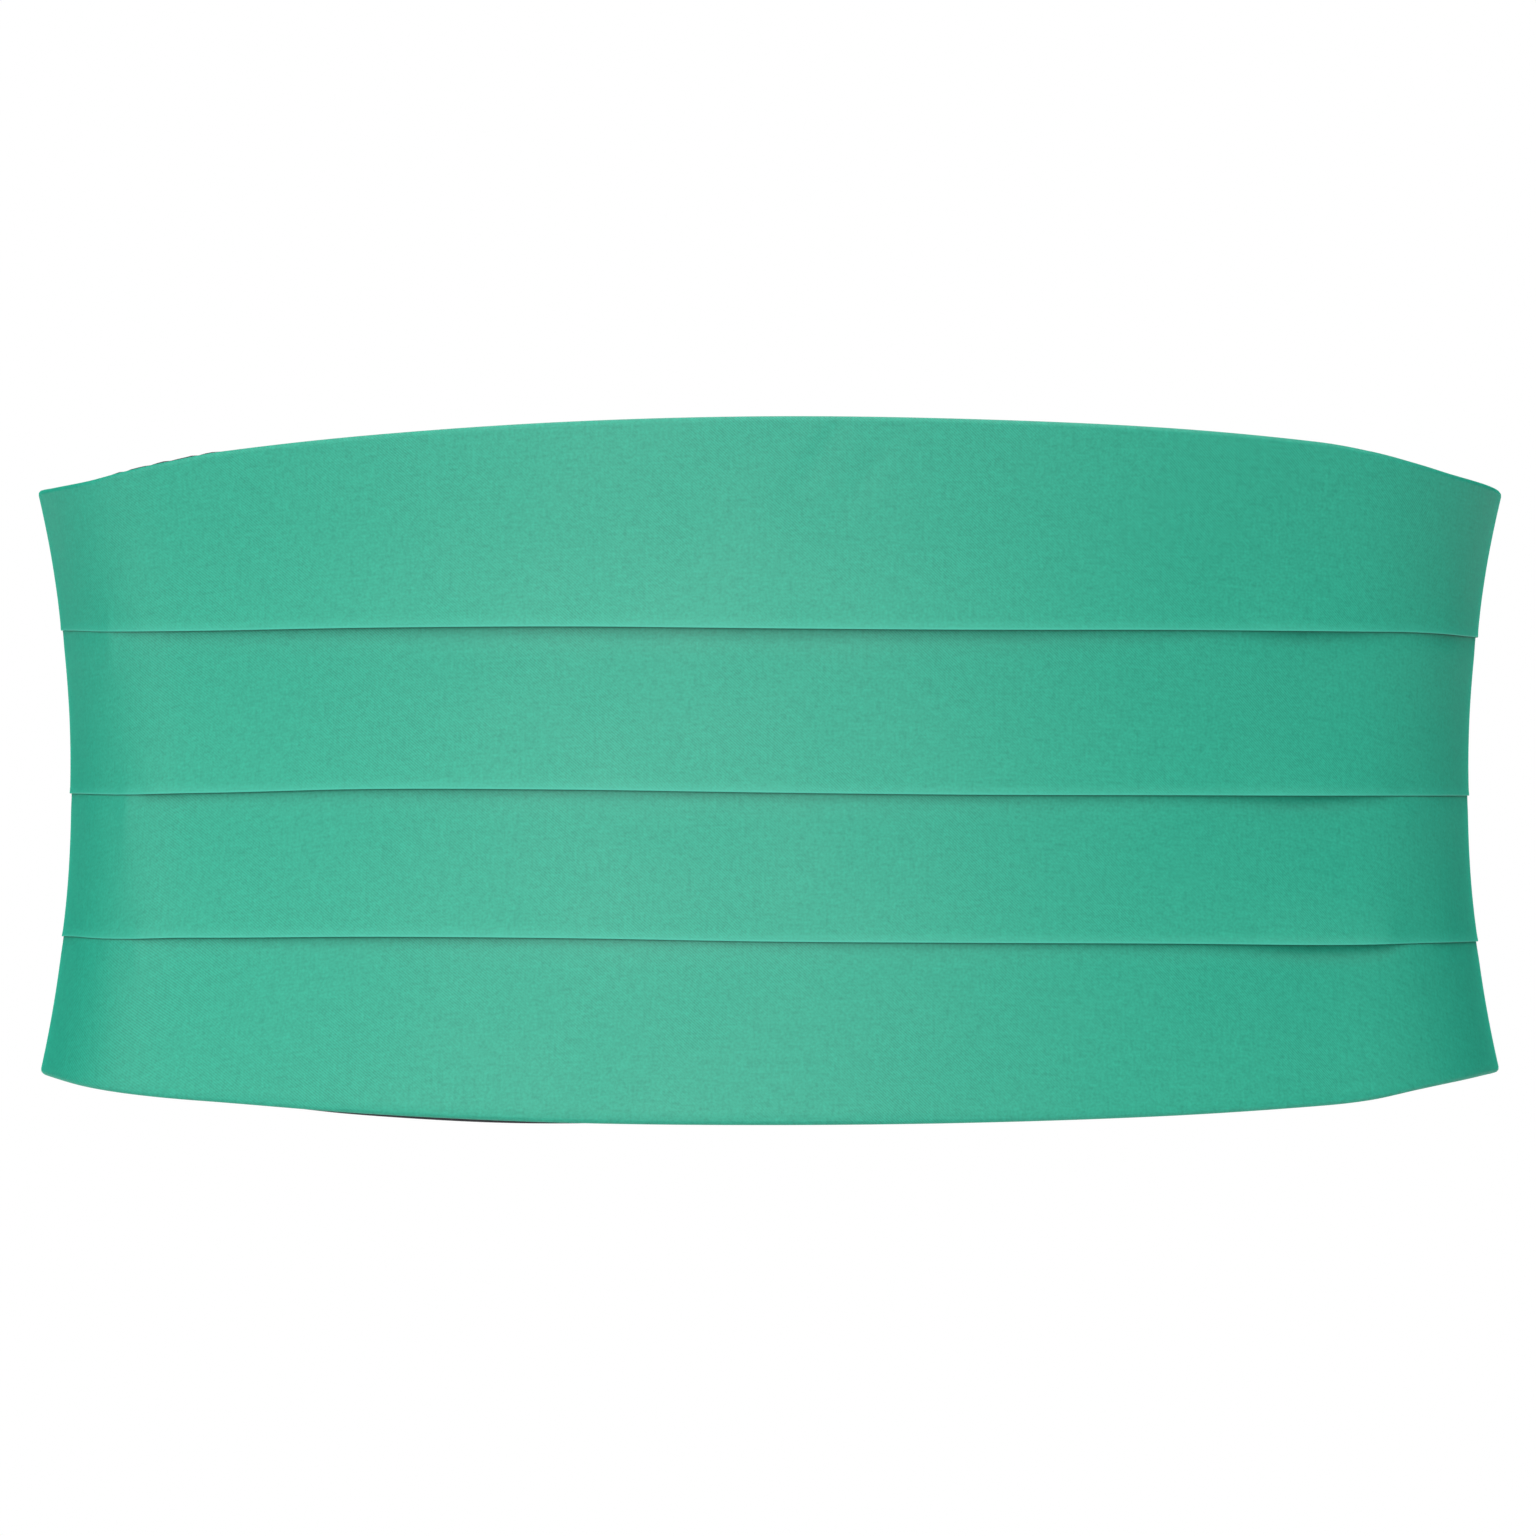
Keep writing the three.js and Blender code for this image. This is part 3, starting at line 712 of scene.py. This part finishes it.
def strap_mesh(name, path):
    """Webbing along a path seen from above: a flat closed section with rounded edges and ribs across."""
    tangent = np.gradient(path, axis=0)
    tangent /= np.linalg.norm(tangent, axis=1)[:, None]
    normal = np.stack([-tangent[:, 1], tangent[:, 0]], 1)
    run = lengths_along(np.linalg.norm(np.diff(path, axis=0), axis=1), 0)
    half_width, half_thick = STRAP_WIDTH / 2, STRAP_THICKNESS / 2 - RIB_HEIGHT
    flat = np.linspace(-1, 1, 31) * (half_width - half_thick)
    round_end = np.linspace(-math.pi / 2, math.pi / 2, 7)[1:-1]
    face = np.stack([flat, np.full_like(flat, half_thick)], 1)
    cap_out = half_width - half_thick + half_thick * np.cos(round_end)
    cap = np.stack([cap_out, -half_thick * np.sin(round_end)], 1)
    section = np.concatenate([face, cap, -face, -cap])
    inner = smooth_step(half_width, half_width - SELVEDGE, np.abs(section[:, 0]))
    ribs = np.sin(2 * math.pi * run / RIB_PITCH)[:, None] * RIB_HEIGHT
    selvedge = RIB_HEIGHT * 0.8 * smooth_step(0.5, 1, 1 - np.abs(2 * inner - 1))
    on_face = np.sign(section[:, 1]) * (np.abs(section[:, 1]) > 0.4 * half_thick)
    away = section[:, 1] + on_face * (ribs * inner - selvedge)
    ends = np.clip(np.minimum(run, run[-1] - run) / (0.5 * MM), 0, 1)[:, None]
    away = away * np.sqrt(1 - (1 - ends) ** 2 * 0.9)
    flat_places = path[:, None, :] + normal[:, None, :] * away[:, :, None]
    high = np.broadcast_to(section[:, 0], away.shape)
    places = np.concatenate([flat_places, high[:, :, None]], 2)
    rings, count = high.shape
    index = np.arange(rings * count).reshape(rings, count)
    after = np.roll(index, -1, 1)
    faces = np.stack([index[:-1], after[:-1], after[1:], index[1:]], -1).reshape(-1, 4)
    mesh = bpy.data.meshes.new(name)
    caps = [index[0][::-1].tolist(), index[-1].tolist()]
    mesh.from_pydata(places.reshape(-1, 3).tolist(), [], faces.tolist() + caps)
    ring, corner = np.divmod(np.concatenate([faces.reshape(-1), *caps]), count)
    order = np.arange(len(corner))
    wraps = (corner == 0) & (order % 4 > 0) & (order % 4 < 3) & (order < faces.size)
    corner_wrapped = np.where(wraps, count, corner)
    for layer_name, u, v in (
        ("cloth", run[ring], high.reshape(-1)[ring * count + corner]),
        ("OFBake", 0.01 + 0.98 * ring / (rings - 1), 0.01 + 0.9 * corner_wrapped / count),
    ):
        layer = mesh.uv_layers.new(name=layer_name)
        layer.uv.foreach_set("vector", np.stack([u, v], 1).astype(np.float32).ravel())
    mesh.polygons.foreach_set("use_smooth", np.ones(len(faces) + 2, bool))
    mesh.update()
    return mesh


def stitches_mesh(name, runs, thread, length, gap):
    """Stitches along runs of places: each is a short bent thread that dips into the cloth at both ends."""
    verts, faces = [], []
    sides, rings = 6, 7
    for places, outward in runs:
        reach = lengths_along(np.linalg.norm(np.diff(places, axis=0), axis=1), 0)
        count = max(int((reach[-1] + gap) / (length + gap)), 1)
        pitch = (reach[-1] + gap) / count
        for number in range(count):
            at = number * pitch + (pitch - gap) * np.linspace(0, 1, rings)
            centre = np.stack([np.interp(at, reach, places[:, axis]) for axis in range(3)], 1)
            out = np.stack([np.interp(at, reach, outward[:, axis]) for axis in range(3)], 1)
            arch = np.sin(np.linspace(0, math.pi, rings)) ** 0.6
            centre = centre + out * (arch * thread * 0.45 - thread * 0.35)[:, None]
            forward = np.gradient(centre, axis=0)
            forward /= np.linalg.norm(forward, axis=1)[:, None]
            aside = np.cross(forward, out)
            first = len(verts)
            for ring in range(rings):
                width = thread / 2 * (0.55 + 0.45 * arch[ring])
                for side in range(sides):
                    angle = 2 * math.pi * side / sides
                    offset = aside[ring] * math.cos(angle) + out[ring] * math.sin(angle)
                    verts.append((centre[ring] + offset * width).tolist())
            for ring in range(rings - 1):
                for side in range(sides):
                    a, b = first + ring * sides + side, first + ring * sides + (side + 1) % sides
                    faces.append((a, b, b + sides, a + sides))
            faces.append(tuple(range(first + sides - 1, first - 1, -1)))
            last = first + (rings - 1) * sides
            faces.append(tuple(range(last, last + sides)))
    mesh = bpy.data.meshes.new(name)
    mesh.from_pydata(verts, [], faces)
    mesh.polygons.foreach_set("use_smooth", np.ones(len(faces), bool))
    mesh.update()
    return mesh


def stitch_run(side, corners, level, face):
    """Places and outward directions on a strap's face between corners given as (distance, height)."""
    runs = []
    for first, second in zip(corners, corners[1:]):
        t = np.linspace(0, 1, 40)
        line = np.stack([first[0] + (second[0] - first[0]) * t, level + 0 * t], 1)
        points, outward = on_loop(side * (loop_half - line[:, 0]))
        high = first[1] + (second[1] - first[1]) * t
        places = np.concatenate([points + outward * line[:, 1:], high[:, None]], 1)
        runs.append((places, np.concatenate([face * outward, 0 * high[:, None]], 1)))
    return runs


webbing = new_material("webbing", WEBBING_COLOR, 0.7)
cloth = add_node(webbing, "ShaderNodeUVMap", uv_map="cloth").outputs[0]
ribs = ripple(webbing, cloth, (1, 0), RIB_PITCH)
yarns = ripple(webbing, cloth, (0, 1), YARN_PITCH)
chevrons = ripple(webbing, cloth, (1, 0.6), CHEVRON_PITCH)
fuzz = noise(webbing, cloth, 1400, 3.0)
pattern = calculate(webbing, "ADD", calculate(webbing, "MULTIPLY", yarns, 0.25), fuzz)
pattern = calculate(webbing, "ADD", calculate(webbing, "MULTIPLY", chevrons, 0.12), pattern)
tone = calculate(webbing, "ADD", calculate(webbing, "MULTIPLY", ribs, 0.22), pattern)
feed(webbing, "Base Color", blend_colors(webbing, tone, WEBBING_COLOR, WEBBING_LIGHT))
bump = add_node(webbing, "ShaderNodeBump", {"Height": pattern, "Strength": 1.0, "Distance": 0.06 * MM})
feed(webbing, "Normal", bump.outputs[0])
feed(webbing, "Roughness", spread(webbing, fuzz, 0.3, 0.7, 0.62, 0.8))

thread = new_material("thread", THREAD_COLOR, 0.55)
place = add_node(thread, "ShaderNodeTexCoord").outputs["Object"]
twist = noise(thread, place, 5000, 2.0)
feed(thread, "Base Color", blend_colors(thread, twist, THREAD_COLOR, WEBBING_LIGHT))
bump = add_node(thread, "ShaderNodeBump", {"Height": twist, "Strength": 1.0, "Distance": 0.04 * MM})
feed(thread, "Normal", bump.outputs[0])

STITCH_THREAD = 0.34 * MM
STITCH_LENGTH = 2.3 * MM
STITCH_GAP = 0.5 * MM
BOX_NEAR = BACK_GAP / 2 + 3 * MM
BOX_FAR = BACK_GAP / 2 + 19 * MM
BOX_HALF = 12 * MM
TAIL_ROWS = (3 * MM, 10 * MM)
for name, side in (("left", -1), ("right", 1)):
    path, path_length = smooth_path(on_plan(side, strap_line()), WEBBING_STEP)
    strap = add_piece(f"webbing_{name}", strap_mesh(f"webbing_{name}", path), f"strap_{name}")
    strap.data.materials.append(webbing)
    inner_face = BACK_LEVEL - STRAP_THICKNESS - LINING_GAP
    box = [(BOX_NEAR, -BOX_HALF), (BOX_FAR, -BOX_HALF), (BOX_FAR, BOX_HALF), (BOX_NEAR, BOX_HALF)]
    runs = stitch_run(side, [*box, box[0]], inner_face, -1)
    runs += stitch_run(side, [(BOX_NEAR, -BOX_HALF), (BOX_FAR, BOX_HALF)], inner_face, -1)
    runs += stitch_run(side, [(BOX_NEAR, BOX_HALF), (BOX_FAR, -BOX_HALF)], inner_face, -1)
    tail = CLASP_WIDTH / 2 + STRAP_MEET
    for row in TAIL_ROWS:
        corners = [(tail + row, -BOX_HALF), (tail + row, BOX_HALF)]
        runs += stitch_run(side, corners, STRAP_LEVEL - STRAP_THICKNESS / 2, -1)
        runs += stitch_run(side, corners, STRAP_LEVEL + 1.5 * STRAP_THICKNESS + TAIL_GAP, 1)
    mesh = stitches_mesh(f"stitches_{name}", runs, STITCH_THREAD, STITCH_LENGTH, STITCH_GAP)
    stitches = add_piece(f"stitches_{name}", mesh, None)
    stitches.data.materials.append(thread)

# The clasp: one plain plated plate, stamped from sheet metal with a slot at each end and tumbled so that
# its edges are round. Both straps hold it at the middle of the back.
CLASP_SLOT = 4.6 * MM
CLASP_MARGIN = 2.8 * MM
CLASP_CORNER = 2.5 * MM
CLASP_ROUNDING = 0.4 * MM
METAL_COLOR = (0.62, 0.63, 0.65)
METAL_DULL = (0.59, 0.60, 0.62)


def rounded_rectangle(width, height, corner, middle=0.0, count=8):
    points = []
    for turn, (x, y) in enumerate(((1, 1), (-1, 1), (-1, -1), (1, -1))):
        for step in range(count + 1):
            angle = math.pi / 2 * (turn + step / count)
            points.append((middle + x * (width / 2 - corner) + corner * math.cos(angle),
                           y * (height / 2 - corner) + corner * math.sin(angle)))
    return points


slot_height = STRAP_WIDTH + 2 * LAYER_GAP
clasp_height = slot_height + 2 * CLASP_MARGIN
slot_middle = CLASP_WIDTH / 2 - CLASP_BAR - CLASP_SLOT / 2
shrink = 2 * CLASP_ROUNDING
outlines = [rounded_rectangle(CLASP_WIDTH - shrink, clasp_height - shrink, CLASP_CORNER - CLASP_ROUNDING)]
slot_size = (CLASP_SLOT + shrink, slot_height + shrink)
for middle in (-slot_middle, slot_middle):
    outlines.append(rounded_rectangle(*slot_size, CLASP_ROUNDING * 1.5, middle))
curve = bpy.data.curves.new("clasp_outline", "CURVE")
curve.dimensions = "2D"
curve.fill_mode = "BOTH"
curve.extrude = CLASP_THICKNESS / 2 - CLASP_ROUNDING
curve.bevel_depth = CLASP_ROUNDING
curve.bevel_resolution = 4
for points in outlines:
    spline = curve.splines.new("POLY")
    spline.points.add(len(points) - 1)
    spline.points.foreach_set("co", np.array([(x, y, 0, 1) for x, y in points], np.float32).ravel())
    spline.use_cyclic_u = True
outline = bpy.data.objects.new("clasp_outline", curve)
bpy.context.scene.collection.objects.link(outline)
bpy.context.view_layer.update()
clasp_mesh = bpy.data.meshes.new_from_object(outline.evaluated_get(bpy.context.evaluated_depsgraph_get()))
bpy.data.objects.remove(outline)
bpy.data.curves.remove(curve)
clasp_mesh.name = "clasp_plate"
flat = np.empty(len(clasp_mesh.vertices) * 3)
clasp_mesh.vertices.foreach_get("co", flat)
flat = flat.reshape(-1, 3)
turned = np.stack([flat[:, 0], loop_depth / 2 + CLASP_LEVEL - flat[:, 2], flat[:, 1]], 1)
clasp_mesh.vertices.foreach_set("co", turned.ravel())
clasp_mesh.polygons.foreach_set("use_smooth", np.ones(len(clasp_mesh.polygons), bool))
clasp_mesh.update()
clasp = add_piece("clasp_plate", clasp_mesh, "clasp")
metal = new_material("clasp_metal", METAL_COLOR, 0.2, metallic=1.0)
place = add_node(metal, "ShaderNodeTexCoord").outputs["Object"]
stretched = add_node(metal, "ShaderNodeMapping", {"Vector": place, "Scale": (1, 1, 26)}).outputs[0]
brushing = noise(metal, stretched, 260, 3.0)
smudges = noise(metal, place, 120, 2.0)
feed(metal, "Base Color", blend_colors(metal, smudges, METAL_COLOR, METAL_DULL))
feed(metal, "Roughness", spread(metal, smudges, 0.3, 0.7, 0.2, 0.25))
bump = add_node(metal, "ShaderNodeBump", {"Height": brushing, "Strength": 1.0, "Distance": 0.006 * MM})
feed(metal, "Normal", bump.outputs[0])
clasp.data.materials.clear()
clasp.data.materials.append(metal)

# The studio: large soft lights in front and at the left, a weak one at the right and one high behind, a dim
# surround that glows above and is white where the camera sees it, and a plain pale floor below the picture.
LIGHT_COLUMNS = ("name", "azimuth", "elevation", "distance", "size", "power")
LIGHT_ROWS = [
    ("key_light", -25, 8, 3.0, 1.4, 14.4),
    ("front_light", 0, 8, 3.0, 2.0, 26.5),
    ("side_light", -74, 8, 3.0, 2.0, 18.2),
    ("right_light", 80, 8, 3.0, 2.0, 2.2),
    ("back_light", 180, 58, 2.5, 1.5, 16),
]
FLOOR_COLOR = (0.65, 0.65, 0.64)
FLOOR_LIGHT = (0.68, 0.68, 0.68)
WORLD_FRONT = 0.02
WORLD_BACK = 0.02
WORLD_TOP = 2.5
FLOOR_HALF = 14.0
FLOOR_DROP = 1.2
world = bpy.data.worlds.new("surround")
bpy.context.scene.world = world
world.use_nodes = True
facing = add_node(world, "ShaderNodeTexCoord").outputs["Generated"]
ways = add_node(world, "ShaderNodeSeparateXYZ", {0: facing}).outputs
level_glow = spread(world, ways[1], -0.6, 0.6, WORLD_FRONT, WORLD_BACK)
above = spread(world, ways[2], 0.2, 1, 0, WORLD_TOP)
top_glow = calculate(world, "MULTIPLY", above, spread(world, ways[1], 0.35, -0.25))
glow = calculate(world, "ADD", level_glow, top_glow)
seen = add_node(world, "ShaderNodeLightPath").outputs["Is Camera Ray"]
strength = add_node(world, "ShaderNodeMix", {0: seen, 2: glow, 3: 1.0}).outputs[0]
background = world.node_tree.nodes["Background"]
background.inputs["Color"].default_value = (1, 1, 1, 1)
world.node_tree.links.new(strength, background.inputs["Strength"])


def soft_box(name, azimuth, elevation, distance, size, power):
    """A square light that faces the middle of the object. Azimuth 0 is in front, and 90 is to the right."""
    data = bpy.data.lights.new(name, "AREA")
    data.shape = "SQUARE"
    data.size = size
    data.energy = power
    light = bpy.data.objects.new(name, data)
    bpy.context.scene.collection.objects.link(light)
    turn, rise = math.radians(azimuth), math.radians(elevation)
    light.location = (
        distance * math.sin(turn) * math.cos(rise),
        -distance * math.cos(turn) * math.cos(rise),
        distance * math.sin(rise),
    )
    light.rotation_euler = (math.pi / 2 - rise, 0, turn)
    light.visible_camera = False


for row in LIGHT_ROWS:
    soft_box(**dict(zip(LIGHT_COLUMNS, row)))
bpy.context.scene.view_settings.view_transform = "Standard"

floor_mesh = bpy.data.meshes.new("floor")
corners = [(x * FLOOR_HALF, y * FLOOR_HALF, 0) for x, y in ((-1, -1), (1, -1), (1, 1), (-1, 1))]
floor_mesh.from_pydata(corners, [], [(0, 1, 2, 3)])
floor = bpy.data.objects.new("floor", floor_mesh)
bpy.context.scene.collection.objects.link(floor)
floor.location = (0, 0, -FLOOR_DROP)
paint = new_material("floor_paint", FLOOR_COLOR, 0.8)
place = add_node(paint, "ShaderNodeTexCoord").outputs["Object"]
feed(paint, "Base Color", blend_colors(paint, noise(paint, place, 3.0), FLOOR_COLOR, FLOOR_LIGHT))
floor_mesh.materials.append(paint)
